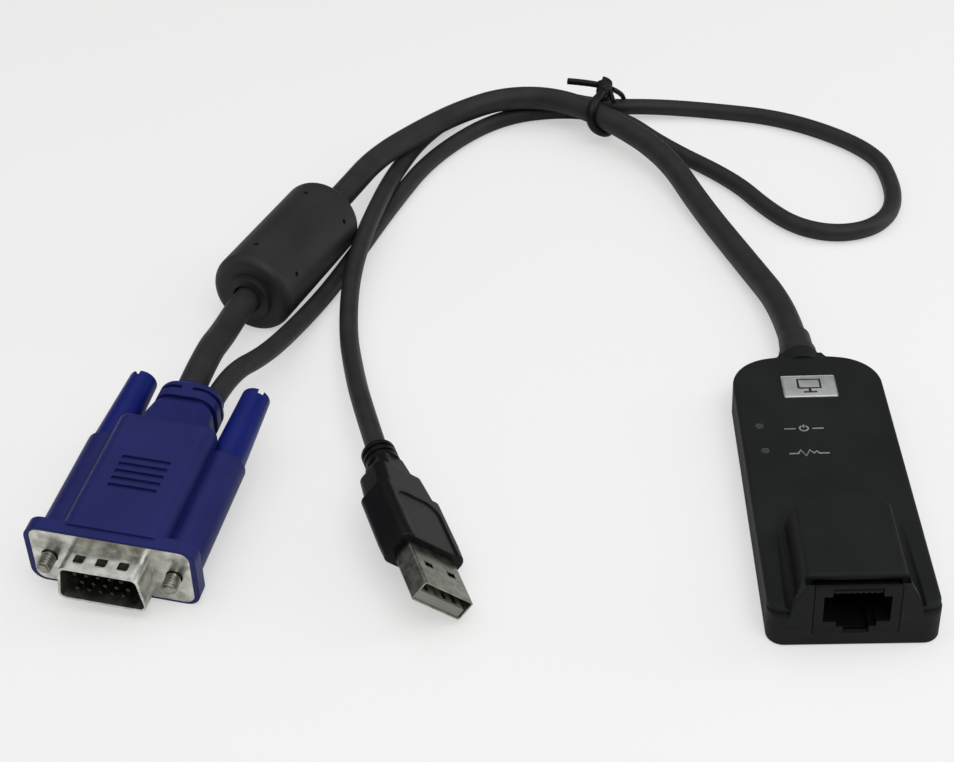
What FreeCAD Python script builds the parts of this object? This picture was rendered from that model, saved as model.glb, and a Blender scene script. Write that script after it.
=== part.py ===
import FreeCAD
import Part
import math
import os

V = FreeCAD.Vector
os.makedirs("parts", exist_ok=True)

# ------------------------------------------------------------------ sizes, mm
# Housing: front face at y = 0 while it is built, moved to its place at the end.
housing_width = 31.2
housing_length = 79.6
rail_top = 8.4
nose_height = 7.0
nose_setback = 0.9
parting_height = 4.6
wall = 1.3
floor_thickness = 1.2
top_thickness = 1.7
front_wall = 1.0
front_corner_radius = 3.2
rear_corner_radius = 9.5
rear_bow_radius = 40.0
edge_round = 0.8
collar_length = 2.6
collar_radius = 4.5
collar_wall = 1.85
collar_flare_half = 6.9
collar_flare_length = 1.7
collar_flare_bottom = 0.6
collar_flare_top = 7.6

# Raised hood over the network jack
hood_top = 14.8
hood_front = 2.6
hood_half_top = 8.9
hood_half_foot = 10.4
hood_side_top = 22.4
hood_apex_top = 25.4
hood_side_foot = 24.2
hood_apex_foot = 27.2
hood_rear_round = 2.0
hood_wall = 1.2
bezel_top = 14.0
flare_foot = 1.5
flare_waist = 1.35
flare_crown = 0.25
flare_start = 1.4
flare_end = 7.2
lip_recess_half = 9.2
bezel_slot_floor = 11.7
valley_centre = 11.25
valley_radius = 1.2
valley_front = 1.2
valley_end = 26.0
valley_depth = 1.1

# Network jack
jack_width = 15.24
jack_clearance = 0.13
jack_length = 15.6
jack_body_top = 12.6
jack_flange_top = 14.2
jack_flange_thickness = 0.7
port_width = 11.94
port_bottom = 5.9
port_top = 11.9
port_depth = 12.9
contact_notch_width = 8.9
contact_notch_top = 13.9
latch_step_width = 7.2
latch_step_bottom = 4.7
latch_width = 4.6
latch_depth = 10.0
contact_pitch = 1.016
contact_count = 8
contact_width = 0.36
contact_thickness = 0.24

# Circuit board and what is on it
board_bottom = 1.9
board_thickness = 1.2
board_side_gap = 0.9
board_front_gap = 0.6
board_rear_gap = 8.3
post_inset = 4.6
post_front_y = 17.6
post_rear_inset = 17.6
post_radius = 1.9
pin_radius = 0.9
pin_clearance = 0.1
light_side_inset = 4.0
light_rear_inset = 25.0
light_spacing = 8.1
light_lean = 0.3
light_pipe_radius = 0.9
light_pipe_clearance = 0.05
light_head_radius = 1.5
light_head_height = 0.8
light_chip_height = 0.7
light_gap = 0.25
transformer_size = (12.6, 5.6, 5.2)
transformer_y = 17.2
processor_size = (10.0, 10.0, 1.2)
processor_offset = 2.2
video_chip_size = (7.0, 7.0, 0.9)
video_chip_gap = 7.0
capacitor_radius = 2.0
capacitor_height = 3.2
capacitor_insets = ((7.9, 29.0), (3.8, 32.0), (3.8, 45.0))
header_size = (10.0, 5.0, 3.1)
header_rear_gap = 1.0
pigtail_radius = 1.4

# Strain relief on the housing's cable
boot_neck_clearance = 0.05
boot_flange_half_width = 4.5
boot_flange_thickness = 1.2
boot_flange_gap = 0.75
boot_root_radius = 4.1
boot_root_length = 3.0
boot_tip_radius = 3.5
boot_length = 8.8

# Cables: outer diameters, and the points each one is led through
video_cable_diameter = 6.2
usb_cable_diameter = 4.4
arc_share = 0.45
video_cable_points = [
    (-0.3, 49.9, 4.6),
    (-0.9, 62.9, 4.4),
    (-6.4, 82.4, 3.2),
    (-15.9, 111.5, 3.2),
    (-23.6, 135.4, 6.0),
    (-36.3, 157.5, 9.0),
    (-50.5, 168.7, 9.0),
    (-65.5, 171.1, 7.4),
    (-78.0, 164.7, 6.6),
    (-88.0, 150.4, 7.2),
    (-99.6, 133.5, 8.6),
    (-105.6, 114.8, 10.0),
    (-117.2, 83.8, 10.0),
    (-128.3, 54.5, 10.0),
    (-127.8, 37.9, 14.5),
    (-130.4, 23.2, 13.4),
]
usb_cable_points = [
    (-125.1, 20.2, 12.7),
    (-123.2, 31.0, 13.7),
    (-117.2, 41.2, 10.0),
    (-112.8, 61.9, 4.2),
    (-107.5, 79.4, 2.2),
    (-102.0, 97.4, 2.2),
    (-96.0, 119.4, 2.2),
    (-85.0, 143.9, 2.2),
    (-68.0, 165.4, 2.2),
    (-50.0, 165.5, 3.5),
    (-34.0, 160.3, 3.5),
    (-24.5, 144.9, 2.2),
    (-7.0, 125.9, 2.2),
    (0.8, 111.3, 2.2),
    (7.2, 102.3, 2.2),
    (15.8, 98.3, 2.2),
    (24.8, 100.2, 2.2),
    (31.2, 107.7, 2.2),
    (33.8, 119.9, 2.2),
    (32.3, 139.9, 2.2),
    (12.0, 160.1, 2.2),
    (-11.0, 168.2, 2.2),
    (-26.0, 169.3, 3.4),
    (-39.5, 168.5, 3.6),
    (-53.0, 176.9, 3.0),
    (-67.0, 179.4, 2.2),
    (-80.0, 171.4, 2.2),
    (-90.8, 155.9, 2.2),
    (-96.8, 132.4, 2.4),
    (-102.0, 111.9, 7.1),
    (-97.8, 94.4, 7.1),
    (-102.6, 72.4, 3.4),
    (-100.2, 48.4, 5.0),
    (-95.8, 25.6, 8.3),
    (-89.6, 8.1, 8.2),
]

# Ferrite choke round the video cable
ferrite_place = (-117.2, 83.8, 10.0)
ferrite_azimuth = 69.4
ferrite_radius = 10.0
ferrite_length = 39.0
ferrite_end_round = 2.4
ferrite_bore_clearance = 0.35
core_radius = 8.0
core_length = 32.0
core_pin_radius = 0.6
core_pin_depth = 1.0
core_pin_offset = 12.5
core_pin_count = 5
core_pin_start = -3.0
ferrite_ring_radius = 5.6
ferrite_ring_length = 1.4

# Twist tie round the three strands
tie_place = (-40.5, 160.5)
tie_turn = 72.0
tie_width = 1.7
tie_thickness = 0.62
tie_strands = ((0.0, 9.0, 3.85), (1.7, 3.5, 2.75), (8.8, 3.5, 2.85))
tie_knot = (7.9, 9.4)
tie_knot_radius = 1.7
tie_wire_radius = 0.7
tie_tail_length = 9.0

# Video plug (15-pin), built with its plate's front face at y = 0
vga_place = (-137.7, -25.55, 8.6)
vga_turn = (-10.15, 4.85, 5.4)
flange_half_width = 17.1
flange_half_height = 7.3
flange_depth = 3.0
flange_corner = 3.0
vga_plate_half_width = 15.95
vga_plate_half_height = 6.8
vga_plate_corner = 2.1
vga_plate_thickness = 0.6
shroud_length = 6.0
shroud_half_top = 7.8
shroud_half_bottom = 9.0
shroud_half_height = 4.4
shroud_corner = 1.6
shroud_wall = 0.5
jackscrew_spacing = 24.99
ear_radius = 4.3
ear_length = 30.6
knob_clearance = 0.25
knob_inner_radius = 3.2
knob_neck_radius = 2.6
ear_floor = 5.6
ear_lip = 2.4
knob_root_radius = 3.7
knob_tip_radius = 3.05
knob_end = 51.0
knob_slot_width = 1.3
knob_slot_depth = 1.3
knob_slot_turns = (107.0, 60.0)
thread_radius = 1.42
thread_start = 0.2
rod_radius = 1.2
rod_tip = 3.6
hood_body_end = 33.8
hood_body_half_width = 10.4
hood_body_half_height = 7.75
hood_body_corner = 2.8
hood_body_round = 1.1
grip_count = 5
grip_first = 13.5
grip_pitch = 1.95
grip_width = 0.85
grip_depth = 0.55
grip_half_length = 4.95
neck_root_half_width = 7.9
neck_root_half_height = 7.1
neck_half_width = 6.5
neck_half_height = 5.8
neck_corner = 3.4
neck_end = 41.0
collar_start = 42.4
collar_half_width = 6.8
collar_half_height = 5.9
collar_corner = 4.4
collar_round = 1.6
collar_end = 47.5
collar_groove_start = 44.5
collar_groove_width = 0.9
collar_groove_depth = 0.8
collar_bridge_half = 1.2
video_exit_x = -1.8
video_exit_y = 49.5
usb_exit_x = 4.0
exit_sleeve_wall = 0.6
pin_radius_vga = 0.38
pin_pitch = 2.29
pin_row_pitch = 1.98
pin_front = 5.0
insulator_face = 0.8
insulator_block = (16.4, 8.0, 5.0)
mould_block = (16.6, 10.4, 24.0)

# USB plug, built with the front of its shell at y = 0
usb_place = (-74.25, -35.74, 7.6)
usb_turn = (20.0, 44.3, 0.9)
usb_shell_width = 12.0
usb_shell_height = 4.5
usb_shell_wall = 0.3
usb_shell_exposed = 11.8
usb_shell_length = 17.5
usb_hole_x = 2.85
usb_hole_y = 6.5
usb_hole_size = (2.0, 1.5)
tongue_front = 0.3
tongue_top = -0.05
usb_contact_x = (-3.5, -1.0, 1.0, 3.5)
usb_contact_width = 1.0
usb_contact_thickness = 0.15
usb_contact_end = 9.8
grip_front_half = 7.9
grip_mid_half = 8.2
grip_step_half = 8.1
grip_half_height = 3.9
grip_corner = 1.9
grip_front_round = 0.5
grip_mid_y = 16.0
grip_step_y = 28.8
shoulder_front_half = 7.4
shoulder_rear_half = 6.2
shoulder_half_height = 3.6
shoulder_end = 36.2
panel_half_width = 5.5
panel_front = 11.0
panel_rear = 26.9
panel_depth = 0.3
panel_corner = 3.0
usb_neck_half = 4.4
usb_neck_half_height = 3.3
usb_neck_end = 41.2
usb_collar_radius = 3.6
usb_collar_end = 46.4
usb_collar_groove = 0.8
usb_mould_size = (11.0, 5.2, 13.0)

# ------------------------------------------------------------------ derived
housing_half = housing_width / 2
board_top = board_bottom + board_thickness
ceiling = rail_top - top_thickness
overall_length = housing_length + collar_length
jack_half = jack_width / 2
cut_half = jack_half + jack_clearance
cable_axis_z = parting_height
collar_bore = collar_radius - collar_wall
board_half_width = housing_half - wall - board_side_gap
board_front = front_wall + board_front_gap
board_rear = housing_length - wall - board_rear_gap
post_x = housing_half - post_inset
post_y_list = (post_front_y, housing_length - post_rear_inset)
header_y = board_rear - header_rear_gap - header_size[1]
video_chip_y = header_y - video_chip_gap - video_chip_size[1]
processor_y = (board_front + board_rear - processor_size[1]) / 2 + processor_offset
light_x = light_side_inset - housing_half
light_y = housing_length - light_rear_inset
light_positions = ((light_x, light_y), (light_x + light_lean, light_y - light_spacing))
jackscrew_x = jackscrew_spacing / 2
far = 100.0


# ------------------------------------------------------------------ helpers
def box(x0, x1, y0, y1, z0, z1):
    return Part.makeBox(x1 - x0, y1 - y0, z1 - z0, V(x0, y0, z0))


def cyl_y(x, z, radius, y0, y1):
    return Part.makeCylinder(radius, y1 - y0, V(x, y0, z), V(0, 1, 0))


def cone_y(x, z, radius0, radius1, y0, y1):
    return Part.makeCone(radius0, radius1, y1 - y0, V(x, y0, z), V(0, 1, 0))


def cyl_z(x, y, radius, z0, z1):
    return Part.makeCylinder(radius, z1 - z0, V(x, y, z0))


def line(a, b):
    return Part.LineSegment(V(*a), V(*b)).toShape()


def arc(a, m, b):
    return Part.Arc(V(*a), V(*m), V(*b)).toShape()


def polygon_prism(points, direction):
    wire = Part.makePolygon([V(*p) for p in points] + [V(*points[0])])
    return Part.Face(wire).extrude(V(*direction))


def rect_wire_y(half_width, half_height, radius, y, x=0.0, z=0.0):
    """Rounded rectangle in the XZ plane at y."""
    w = half_width
    h = half_height
    r = radius
    k = r * (1 - math.sqrt(0.5))

    def p(u, v):
        return (x + u, y, z + v)

    edges = [
        line(p(r - w, -h), p(w - r, -h)),
        arc(p(w - r, -h), p(w - k, k - h), p(w, r - h)),
        line(p(w, r - h), p(w, h - r)),
        arc(p(w, h - r), p(w - k, h - k), p(w - r, h)),
        line(p(w - r, h), p(r - w, h)),
        arc(p(r - w, h), p(k - w, h - k), p(-w, h - r)),
        line(p(-w, h - r), p(-w, r - h)),
        arc(p(-w, r - h), p(k - w, k - h), p(r - w, -h)),
    ]
    return Part.Wire(edges)


def rounded_y(half_width, half_height, radius, y0, y1, x=0.0, z=0.0):
    face = Part.Face(rect_wire_y(half_width, half_height, radius, y0, x, z))
    return face.extrude(V(0, y1 - y0, 0))


def loft(wires):
    return Part.makeLoft(wires, True, True)


def edges_where(shape, test):
    return [e for e in shape.Edges if all(test(v.Point) for v in e.Vertexes)]


def near(a, b):
    return abs(a - b) < 1e-4


def fuse(shapes):
    first = shapes[0]
    return first.multiFuse(shapes[1:]).removeSplitter()


def plan_wire(inset, y_front, corner, z):
    """Housing outline from above, set in by a wall: square front, bowed rear."""
    w = housing_half - inset
    r = rear_corner_radius - inset
    bow = rear_bow_radius - inset
    y_rear = housing_length - inset
    x_c = w - r
    y_c = y_rear - bow + math.sqrt((bow - r) ** 2 - x_c ** 2)
    slope = math.asin(x_c / (bow - r))
    x_t = x_c + r * math.sin(slope)
    y_t = y_c + r * math.cos(slope)
    half = (math.pi / 2 - slope) / 2
    x_m = x_c + r * math.cos(half)
    y_m = y_c + r * math.sin(half)
    k = corner * (1 - math.sqrt(0.5))
    f = y_front
    edges = [
        line((corner - w, f, z), (w - corner, f, z)),
        arc((w - corner, f, z), (w - k, f + k, z), (w, f + corner, z)),
        line((w, f + corner, z), (w, y_c, z)),
        arc((w, y_c, z), (x_m, y_m, z), (x_t, y_t, z)),
        arc((x_t, y_t, z), (0, y_rear, z), (-x_t, y_t, z)),
        arc((-x_t, y_t, z), (-x_m, y_m, z), (-w, y_c, z)),
        line((-w, y_c, z), (-w, f + corner, z)),
        arc((-w, f + corner, z), (k - w, f + k, z), (corner - w, f, z)),
    ]
    return Part.Wire(edges)


def plan_prism(inset, y_front, corner, z0, z1):
    return Part.Face(plan_wire(inset, y_front, corner, z0)).extrude(V(0, 0, z1 - z0))


def hood_wire(half, y_front, y_side, y_apex, z):
    edges = [
        line((-half, y_front, z), (half, y_front, z)),
        line((half, y_front, z), (half, y_side, z)),
        arc((half, y_side, z), (0, y_apex, z), (-half, y_side, z)),
        line((-half, y_side, z), (-half, y_front, z)),
    ]
    return Part.Wire(edges)


def routed_wire(points):
    """Straight runs joined by tangent arcs, each as large as its two runs allow."""
    p = [V(*q) for q in points]
    edges = []
    radii = []
    here = p[0]
    for i in range(1, len(p) - 1):
        back = p[i - 1] - p[i]
        ahead = p[i + 1] - p[i]
        reach = arc_share * min(back.Length, ahead.Length)
        turn = math.pi - back.getAngle(ahead)
        radius = reach / math.tan(turn / 2)
        back.normalize()
        ahead.normalize()
        start = p[i] + back * reach
        end = p[i] + ahead * reach
        inward = (back + ahead).normalize()
        middle = p[i] + inward * (radius / math.cos(turn / 2) - radius)
        edges.append(Part.LineSegment(here, start).toShape())
        edges.append(Part.Arc(start, middle, end).toShape())
        radii.append(radius)
        here = end
    edges.append(Part.LineSegment(here, p[-1]).toShape())
    return Part.Wire(edges), radii


def cable(points, diameter, name):
    wire, radii = routed_wire(points)
    axis = V(*points[1]) - V(*points[0])
    ring = Part.makeCircle(diameter / 2, V(*points[0]), axis)
    tube = wire.makePipeShell([Part.Wire(ring)], True, True)
    section = math.pi * diameter ** 2 / 4
    print(name, "length", round(wire.Length, 1),
          "smallest radius", round(min(radii), 1),
          "volume share", round(tube.Volume / (section * wire.Length), 4))
    print("  radii", [round(r, 1) for r in radii])
    return tube


nodes = {}


def keep(name, shape, placement=None):
    """Store a node, moved to its place."""
    if placement is not None:
        shape = shape.transformed(placement.toMatrix(), True)
    nodes[name] = shape


def place(position, turn):
    return FreeCAD.Placement(V(*position), FreeCAD.Rotation(*turn))


housing_at = place((0, -overall_length / 2, 0), (0, 0, 0))
vga_at = place(vga_place, vga_turn)
usb_at = place(usb_place, usb_turn)

# ------------------------------------------------------------------ housing
lower = plan_prism(0, 0, front_corner_radius, 0, parting_height)
lower = lower.makeFillet(0.6, edges_where(lower, lambda q: near(q.z, 0)))
flare_root = housing_length - 1
flare_tip = housing_length + collar_flare_length
flare_bend = (collar_radius + 0.25 * (collar_flare_half - collar_radius),
              flare_root + 0.55 * (flare_tip - flare_root))
flare_points = [(collar_flare_half, flare_root), flare_bend, (collar_radius, flare_tip)]
flare_right = [(x, y, collar_flare_bottom) for x, y in flare_points]
flare_left = [(-x, y, collar_flare_bottom) for x, y in reversed(flare_points)]
collar_flare = Part.Face(Part.Wire([
    arc(*flare_right),
    line(flare_right[-1], flare_left[0]),
    arc(*flare_left),
    line(flare_left[-1], flare_right[0]),
])).extrude(V(0, 0, collar_flare_top - collar_flare_bottom))
collar = fuse([
    cyl_y(0, cable_axis_z, collar_radius, housing_length - 1.5, overall_length), collar_flare,
])
below = box(-far, far, -far, far, -far, parting_height)
above = box(-far, far, -far, far, parting_height, far)

cavity = plan_prism(wall, front_wall, front_corner_radius - wall, floor_thickness, ceiling)
collar_hole = cyl_y(0, cable_axis_z, collar_bore, housing_length - 4, overall_length + 1)
jack_cut = box(-cut_half, cut_half, -1, front_wall + 1, board_top, far)

posts_below = []
pin_sockets = []
for side in (-1, 1):
    for y in post_y_list:
        posts_below.append(cyl_z(side * post_x, y, post_radius, floor_thickness, board_bottom))
        pin_sockets.append(cyl_z(side * post_x, y, pin_radius + pin_clearance,
                                 floor_thickness, board_bottom))

bottom = fuse([lower, collar.common(below)]).cut(cavity)
bottom = fuse([bottom] + posts_below)
bottom = bottom.cut(Part.makeCompound([jack_cut, collar_hole] + pin_sockets))
keep("bottom_cover", bottom, housing_at)

upper_low = plan_prism(0, 0, front_corner_radius, parting_height, nose_height)
upper_high = plan_prism(0, nose_setback, front_corner_radius, nose_height, rail_top)
upper_high = upper_high.makeFillet(edge_round,
                                   edges_where(upper_high, lambda q: near(q.z, rail_top)))
hood = loft([
    hood_wire(hood_half_foot, hood_front, hood_side_foot, hood_apex_foot, nose_height),
    hood_wire(hood_half_top, hood_front, hood_side_top, hood_apex_top, hood_top),
])
hood_corners = [
    e for e in hood.Edges
    if min(v.Point.y for v in e.Vertexes) > hood_side_top - 1
    and abs(e.Vertexes[0].Point.z - e.Vertexes[-1].Point.z) > 1
]
hood = hood.makeFillet(hood_rear_round, hood_corners)
hood = hood.makeFillet(edge_round, edges_where(hood, lambda q: near(q.z, hood_top)))


def bezel_wire(spread, y):
    """Front face beside the hood: spread is 1 on the front face and 0 on the hood's own sides."""
    middle = (nose_height + bezel_top) / 2
    foot = hood_half_at(nose_height) + spread * flare_foot
    waist = hood_half_at(middle) + spread * flare_waist
    crown = hood_half_at(bezel_top) + spread * flare_crown
    edges = [
        line((-foot, y, nose_height), (foot, y, nose_height)),
        arc((foot, y, nose_height), (waist, y, middle), (crown, y, bezel_top)),
        line((crown, y, bezel_top), (-crown, y, bezel_top)),
        arc((-crown, y, bezel_top), (-waist, y, middle), (-foot, y, nose_height)),
    ]
    return Part.Wire(edges)


def hood_half_at(z):
    """Half the hood's width at a height: its sides lean inwards."""
    share = (z - nose_height) / (hood_top - nose_height)
    return hood_half_foot + share * (hood_half_top - hood_half_foot)


bezel_plate = Part.Face(bezel_wire(1, 0)).extrude(V(0, flare_start, 0))
flare_middle = flare_start + (flare_end - flare_start) / 3
bezel_flare = Part.makeLoft([
    bezel_wire(1, flare_start), bezel_wire(0.35, flare_middle), bezel_wire(0.03, flare_end),
], True, False)
bezel = fuse([bezel_plate, bezel_flare])
bezel_slot = box(-lip_recess_half, lip_recess_half, front_wall, hood_front,
                 bezel_slot_floor, far)
valleys = []
for side in (-1, 1):
    start = V(side * valley_centre, valley_end, rail_top + valley_radius)
    run = V(side * valley_centre, valley_front, rail_top + valley_radius - valley_depth) - start
    valleys.append(Part.makeCylinder(valley_radius, run.Length, start, run))
hood_room = loft([
    hood_wire(hood_half_foot - hood_wall, front_wall, hood_side_foot - hood_wall,
              hood_apex_foot - hood_wall, nose_height - 1),
    hood_wire(hood_half_top - hood_wall + 0.15, front_wall, hood_side_top - hood_wall,
              hood_apex_top - hood_wall, hood_top - hood_wall),
])
slab = fuse([upper_low, upper_high]).cut(Part.makeCompound(valleys))
top = fuse([slab, hood, bezel, collar.common(above)])
top = top.cut(fuse([cavity, hood_room]))
posts_above = []
for side in (-1, 1):
    for y in post_y_list:
        posts_above.append(cyl_z(side * post_x, y, post_radius, board_top, ceiling + 0.5))
        posts_above.append(cyl_z(side * post_x, y, pin_radius, floor_thickness, ceiling))
top = fuse([top] + posts_above)
light_holes = [
    cyl_z(x, y, light_pipe_radius + light_pipe_clearance, ceiling - 1, rail_top + 1)
    for x, y in light_positions
]
top = top.cut(Part.makeCompound([jack_cut, bezel_slot, collar_hole] + light_holes))
keep("top_cover", top, housing_at)

# ------------------------------------------------------------------ board
board = box(-board_half_width, board_half_width, board_front, board_rear,
            board_bottom, board_top)
board = board.cut(Part.makeCompound([
    cyl_z(side * post_x, y, pin_radius + pin_clearance, 0, far)
    for side in (-1, 1) for y in post_y_list
]))
keep("circuit_board", board, housing_at)

for name, (x, y) in zip(("power_light_pipe", "active_light_pipe"), light_positions):
    stem = cyl_z(x, y, light_pipe_radius, ceiling - light_head_height, rail_top)
    head = cyl_z(x, y, light_head_radius, ceiling - light_head_height, ceiling)
    foot = cyl_z(x, y, light_pipe_radius, board_top + light_chip_height + light_gap,
                 ceiling - light_head_height)
    keep(name, fuse([stem, head, foot]), housing_at)

keep("indicator_lights", Part.makeCompound([
    box(x - 0.8, x + 0.8, y - 0.5, y + 0.5, board_top, board_top + light_chip_height)
    for x, y in light_positions
]), housing_at)


def on_board(size, y, x=0.0):
    return box(x - size[0] / 2, x + size[0] / 2, y, y + size[1], board_top,
               board_top + size[2])


keep("signal_transformer", on_board(transformer_size, transformer_y), housing_at)
keep("processor_chip", on_board(processor_size, processor_y), housing_at)
keep("video_chip", on_board(video_chip_size, video_chip_y), housing_at)
keep("board_capacitors", Part.makeCompound([
    cyl_z(board_half_width - inset, y, capacitor_radius, board_top,
          board_top + capacitor_height)
    for inset, y in capacitor_insets
]), housing_at)
keep("cable_header", on_board(header_size, header_y), housing_at)

# ------------------------------------------------------------------ jack
jack = fuse([
    box(-jack_half, jack_half, 0, jack_length, board_top, jack_body_top),
    box(-jack_half, jack_half, 0, jack_flange_thickness, board_top, jack_flange_top),
])
port_half = port_width / 2
jack = jack.cut(Part.makeCompound([
    box(-port_half, port_half, -1, port_depth, port_bottom, port_top),
]))
jack = jack.cut(box(-contact_notch_width / 2, contact_notch_width / 2, -1,
                    jack_flange_thickness, port_bottom, contact_notch_top))
jack = jack.cut(box(-contact_notch_width / 2, contact_notch_width / 2, -1,
                    port_depth, port_bottom, jack_body_top - 0.4))
jack = jack.cut(box(-latch_step_width / 2, latch_step_width / 2, -1, latch_depth,
                    latch_step_bottom, port_bottom + 0.5))
jack = jack.cut(box(-latch_width / 2, latch_width / 2, -1, latch_depth,
                    board_top, latch_step_bottom + 0.5))
keep("network_jack", jack, housing_at)

springs = []
for i in range(contact_count):
    x = (i - (contact_count - 1) / 2) * contact_pitch
    path = [(1.0, 12.0), (1.6, 11.75), (9.6, 10.75), (port_depth, 11.2)]
    upper_path = [(y, z) for y, z in path]
    under_path = [(y, z - contact_thickness) for y, z in reversed(path)]
    outline = [(x - contact_width / 2, y, z) for y, z in upper_path + under_path]
    springs.append(polygon_prism(outline, (contact_width, 0, 0)))
keep("jack_contacts", Part.makeCompound(springs), housing_at)

# ------------------------------------------------------------------ cable exit
flange_rear = housing_length - wall - boot_flange_gap
boot = fuse([
    box(-boot_flange_half_width, boot_flange_half_width,
        flange_rear - boot_flange_thickness, flange_rear,
        floor_thickness + 0.3, ceiling - 0.1),
    cyl_y(0, cable_axis_z, collar_bore - boot_neck_clearance,
          flange_rear - boot_flange_thickness, overall_length + 1),
    cyl_y(0, cable_axis_z, boot_root_radius, overall_length,
          overall_length + boot_root_length),
    cone_y(0, cable_axis_z, boot_root_radius - 0.35, boot_tip_radius,
           overall_length + boot_root_length, overall_length + boot_length),
])
keep("cable_boot", boot, housing_at)
keep("wire_bundle", cyl_y(0, cable_axis_z, pigtail_radius, header_y + header_size[1],
                          flange_rear - boot_flange_thickness), housing_at)

# ------------------------------------------------------------------ cables
keep("video_cable", cable(video_cable_points, video_cable_diameter, "video_cable"))
keep("usb_cable", cable(usb_cable_points, usb_cable_diameter, "usb_cable"))

# ------------------------------------------------------------------ ferrite
ferrite_bore = video_cable_diameter / 2 + ferrite_bore_clearance
ferrite_half = ferrite_length / 2
ferrite_at = place(ferrite_place, (ferrite_azimuth, 0, 0))


def cyl_x(radius, x0, x1):
    return Part.makeCylinder(radius, x1 - x0, V(x0, 0, 0), V(1, 0, 0))


jacket = cyl_x(ferrite_radius, -ferrite_half, ferrite_half)
jacket = jacket.makeFillet(ferrite_end_round, edges_where(
    jacket, lambda q: near(abs(q.x), ferrite_half)))
ring_end = -ferrite_half - ferrite_ring_length
jacket = fuse([jacket, cyl_x(ferrite_ring_radius, ring_end, 0)])
jacket = jacket.cut(cyl_x(ferrite_bore, -far, far))
jacket = jacket.cut(cyl_x(core_radius, -core_length / 2, core_length / 2))
pin_holes = []
for end in (-1, 1):
    for i in range(core_pin_count):
        angle = math.radians(core_pin_start + 360.0 * i / core_pin_count)
        out = V(0, -math.sin(angle), math.cos(angle))
        start = V(end * core_pin_offset, 0, 0) + out * (ferrite_radius - core_pin_depth)
        pin_holes.append(Part.makeCylinder(core_pin_radius, core_pin_depth + 1, start, out))
keep("ferrite_cover", jacket.cut(Part.makeCompound(pin_holes)), ferrite_at)
core = cyl_x(core_radius, -core_length / 2, core_length / 2).cut(cyl_x(ferrite_bore, -far, far))
keep("ferrite_core", core, ferrite_at)


# ------------------------------------------------------------------ twist tie
def hull_face(circles, margin):
    """Face round a set of circles (s, z, radius), in the XZ plane."""
    cloud = []
    for s, z, radius in circles:
        for i in range(20):
            a = 2 * math.pi * i / 20
            cloud.append((s + (radius + margin) * math.cos(a),
                          z + (radius + margin) * math.sin(a)))
    cloud.sort()

    def half(points):
        chain = []
        for q in points:
            while len(chain) > 1:
                (ax, ay), (bx, by) = chain[-2], chain[-1]
                if (bx - ax) * (q[1] - ay) - (by - ay) * (q[0] - ax) > 1e-9:
                    break
                chain.pop()
            chain.append(q)
        return chain[:-1]

    loop = half(cloud) + half(cloud[::-1])
    wire = Part.makePolygon([V(s, 0, z) for s, z in loop] + [V(loop[0][0], 0, loop[0][1])])
    return Part.Face(wire)


band = hull_face(tie_strands, tie_thickness).extrude(V(0, tie_width, 0))
band = band.cut(hull_face(tie_strands, 0).extrude(V(0, tie_width, 0)))
knot_s, knot_z = tie_knot
knot = Part.makeSphere(tie_knot_radius, V(knot_s, tie_width / 2, knot_z))
legs = []
for foot_s, foot_z, foot_y in ((4.6, 10.2, 0.6), (8.8, 6.0, 1.0)):
    leg = V(foot_s - knot_s, foot_y - tie_width / 2, foot_z - knot_z)
    legs.append(Part.makeCylinder(tie_wire_radius, leg.Length + 0.8,
                                  V(knot_s, tie_width / 2, knot_z), leg))
tail = Part.makeCylinder(tie_wire_radius, tie_tail_length, V(knot_s, 1.0, knot_z + 0.5),
                         V(0.25, 1.0, -0.02))
strands = hull_face(tie_strands, 0).extrude(V(0, 3 * tie_width, 0))
strands.translate(V(0, -tie_width, 0))
keep("twist_tie", fuse([band, knot, tail] + legs).cut(strands),
     place((tie_place[0], tie_place[1], 0), (tie_turn, 0, 0)))

# ------------------------------------------------------------------ video plug
mid = ear_length - 3
flange = rounded_y(flange_half_width, flange_half_height, flange_corner, 0, flange_depth)
ears = []
bores = []
for side in (-1, 1):
    x = side * jackscrew_x
    ear = cyl_y(x, 0, ear_radius, flange_depth - 1, ear_length)
    ear = ear.makeFillet(0.55, edges_where(ear, lambda q: near(q.y, ear_length)))
    ears.append(ear)
    bores.append(cyl_y(x, 0, knob_inner_radius + knob_clearance, ear_floor,
                       ear_length - ear_lip))
    bores.append(cyl_y(x, 0, knob_neck_radius + knob_clearance, ear_floor, ear_length + 1))
    bores.append(cyl_y(x, 0, thread_radius + knob_clearance, -1, ear_floor + 1))
    bores.append(cyl_y(x, 0, knob_root_radius + knob_clearance, ear_length,
                       hood_body_end + 1))
body = rounded_y(hood_body_half_width, hood_body_half_height, hood_body_corner,
                 flange_depth - 1, hood_body_end)
body = body.makeFillet(hood_body_round, edges_where(body, lambda q: near(q.y, hood_body_end)))
neck = loft([
    rect_wire_y(neck_root_half_width, neck_root_half_height, neck_corner, hood_body_end - 2),
    rect_wire_y(neck_half_width, neck_half_height, neck_corner, neck_end),
])
throat = rounded_y(neck_half_width - 0.9, neck_half_height - 0.9, neck_corner - 0.9,
                   neck_end - 1, collar_start + 1)
rear_collar = rounded_y(collar_half_width, collar_half_height, collar_corner,
                        collar_start, collar_end)
rear_collar = rear_collar.makeFillet(collar_round, edges_where(
    rear_collar, lambda q: near(q.y, collar_end)))
groove_end = collar_groove_start + collar_groove_width
ring_groove = rounded_y(far, far, 1, collar_groove_start, groove_end)
ring_groove = ring_groove.cut(rounded_y(collar_half_width - collar_groove_depth,
                                        collar_half_height - collar_groove_depth,
                                        collar_corner - collar_groove_depth,
                                        collar_groove_start - 1, groove_end + 1))
ring_groove = ring_groove.cut(box(-collar_bridge_half, collar_bridge_half, 0, far, -far, far))
rear_collar = rear_collar.cut(ring_groove)
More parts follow.
